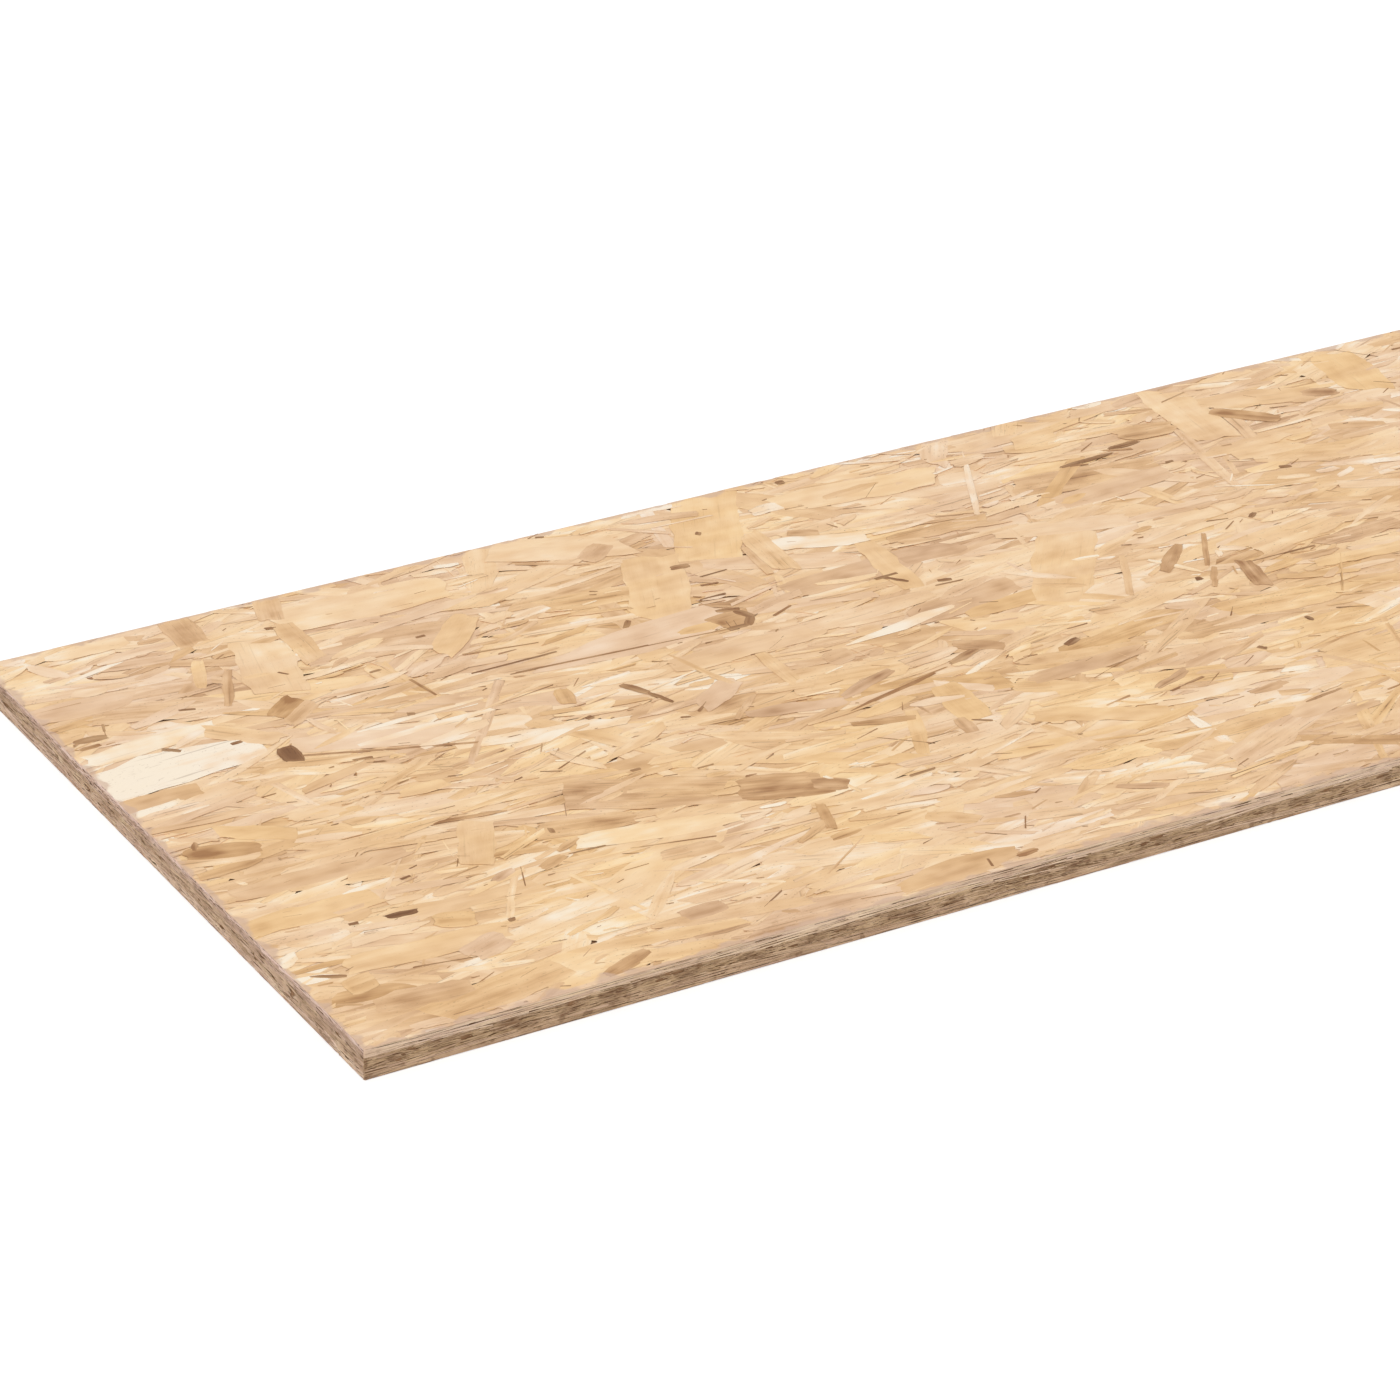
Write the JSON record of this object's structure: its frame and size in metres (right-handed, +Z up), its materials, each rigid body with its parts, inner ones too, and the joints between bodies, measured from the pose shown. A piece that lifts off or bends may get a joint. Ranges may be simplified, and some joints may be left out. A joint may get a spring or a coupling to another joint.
{
  "type": "oriented strand board panel",
  "caption": "Flat square-edged structural panel of pressed wood strands that run mostly along its length, for floors, roofs and wall sheathing.",
  "frame": {"origin": "centre of the underside, the face that the panel lies on", "axes": "+X along the length and the face strands, +Y across the width, +Z up through the thickness"},
  "size_m": [2.5, 0.625, 0.025],
  "materials": {
    "strand_wood": "matte"
  },
  "bodies": {
    "root": {"board": "strand_wood"}
  },
  "joints": []
}
